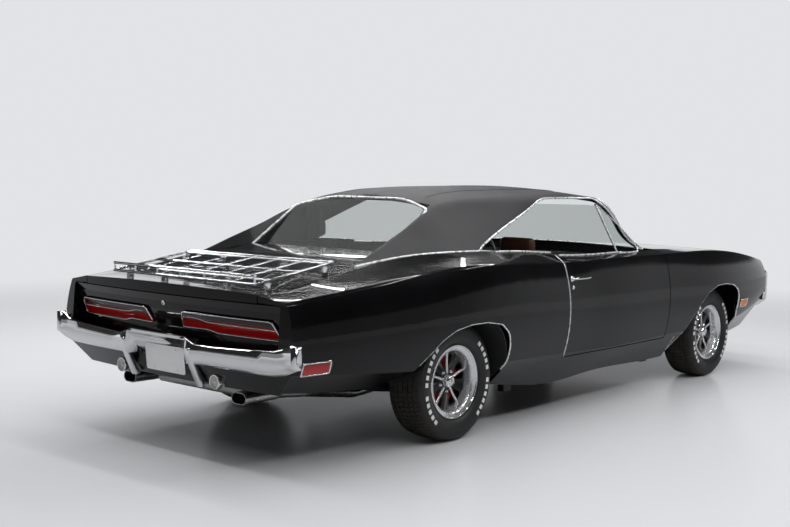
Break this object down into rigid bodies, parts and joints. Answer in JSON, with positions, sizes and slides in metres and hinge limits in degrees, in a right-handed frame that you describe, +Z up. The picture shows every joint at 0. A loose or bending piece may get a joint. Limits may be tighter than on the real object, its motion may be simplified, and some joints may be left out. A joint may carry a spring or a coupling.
{
  "type": "fastback muscle car",
  "caption": "Long two-door fastback coupe with wide rear haunches, buttressed vinyl roof, slim lamps, rack on the trunk lid, opening doors, hood and trunk.",
  "frame": {"origin": "on the ground, under the middle of the car's overall length and breadth", "axes": "+X forward along the car, +Y to the car's left, +Z up"},
  "size_m": [5.2797, 1.9484, 1.3548],
  "materials": {
    "paint": "gloss black",
    "satin_black": "satin black",
    "roof_vinyl": "grained vinyl",
    "chrome": "polished",
    "glass": "light green tint",
    "red_lens": "moulded lens",
    "clear_lens": "moulded lens",
    "plate_white": "plain white",
    "underbody": "matte undercoat",
    "engine_iron": "plain cast",
    "steel": "dull",
    "chassis_black": "satin black",
    "leather": "brown grained",
    "trim_plastic": "dark brown grained",
    "brake_red": "red",
    "wheel_chrome": "polished",
    "tyre": "black rubber"
  },
  "bodies": {
    "body": {"quarter_panels": "paint", "front_fenders": "paint", "roof": "roof_vinyl", "cowl_panel": "paint", "windscreen": "glass", "rear_window": "glass", "tail_panel": "satin_black", "rear_valance": "paint", "front_valance": "paint", "front_bumper": "chrome", "rear_bumper": "chrome", "grille": "satin_black", "tail_lamps": "red_lens", "reverse_lamps": "clear_lens", "side_markers": "red_lens", "number_plate": "plate_white", "floor_pan": "underbody", "rocker_panels": "paint", "wheelhouses": "underbody", "engine_aprons": "underbody", "radiator": "underbody", "engine": "engine_iron", "driveline": "engine_iron", "exhaust": "steel", "fuel_tank": "steel", "rear_axle": "chassis_black", "leaf_springs": "chassis_black", "front_suspension": "chassis_black", "front_seats": "leather", "rear_seat": "leather", "parcel_shelf": "trim_plastic", "dashboard": "trim_plastic", "steering_column": "trim_plastic"},
    "door_left": {"door_left": "paint", "vent_window_left": "glass"},
    "door_right": {"door_right": "paint", "vent_window_right": "glass"},
    "hood": {"hood": "paint"},
    "trunk_lid": {"trunk_lid": "paint", "luggage_rack": "chrome"},
    "steering_wheel": {"steering_wheel": "trim_plastic"},
    "knuckle_left": {"knuckle_left": "brake_red"},
    "knuckle_right": {"knuckle_right": "brake_red"},
    "wheel_front_left": {"rim_front_left": "wheel_chrome", "tyre_front_left": "tyre"},
    "wheel_front_right": {"rim_front_right": "wheel_chrome", "tyre_front_right": "tyre"},
    "wheel_rear_left": {"rim_rear_left": "wheel_chrome", "tyre_rear_left": "tyre"},
    "wheel_rear_right": {"rim_rear_right": "wheel_chrome", "tyre_rear_right": "tyre"}
  },
  "joints": [
    {"name": "spin_front_left", "type": "hinge", "parent": "knuckle_left", "child": "wheel_front_left", "pos_m": [1.666, 0.754, 0.318], "axis": [0, 1, 0], "continuous": true},
    {"name": "spin_front_right", "type": "hinge", "parent": "knuckle_right", "child": "wheel_front_right", "pos_m": [1.666, -0.754, 0.318], "axis": [0, 1, 0], "continuous": true},
    {"name": "spin_rear_left", "type": "hinge", "parent": "body", "child": "wheel_rear_left", "pos_m": [-1.306, 0.754, 0.318], "axis": [0, 1, 0], "continuous": true},
    {"name": "spin_rear_right", "type": "hinge", "parent": "body", "child": "wheel_rear_right", "pos_m": [-1.306, -0.754, 0.318], "axis": [0, 1, 0], "continuous": true},
    {"name": "steer_left", "type": "hinge", "parent": "body", "child": "knuckle_left", "pos_m": [1.666, 0.688, 0.318], "axis": [0, 0, 1], "range_deg": [-30, 30]},
    {"name": "steer_right", "type": "hinge", "parent": "body", "child": "knuckle_right", "pos_m": [1.666, -0.688, 0.318], "axis": [0, 0, 1], "range_deg": [-30, 30]},
    {"name": "steering_wheel_turn", "type": "hinge", "parent": "body", "child": "steering_wheel", "pos_m": [0.43, 0.37, 0.83], "axis": [-0.927, 0, 0.375], "range_deg": [-450, 450]},
    {"name": "door_left_open", "type": "hinge", "parent": "body", "child": "door_left", "pos_m": [0.983, 0.912, 0.6], "axis": [0, 0, -1], "range_deg": [0, 65]},
    {"name": "door_right_open", "type": "hinge", "parent": "body", "child": "door_right", "pos_m": [0.983, -0.912, 0.6], "axis": [0, 0, 1], "range_deg": [0, 65]},
    {"name": "hood_open", "type": "hinge", "parent": "body", "child": "hood", "pos_m": [0.825, 0, 0.925], "axis": [0, -1, 0], "range_deg": [0, 45]},
    {"name": "trunk_lid_open", "type": "hinge", "parent": "body", "child": "trunk_lid", "pos_m": [-1.62, 0, 0.946], "axis": [0, 1, 0], "range_deg": [0, 50]}
  ],
  "couplings": [
    {"joint": "steer_right", "follows": "steer_left", "ratio": 1}
  ]
}
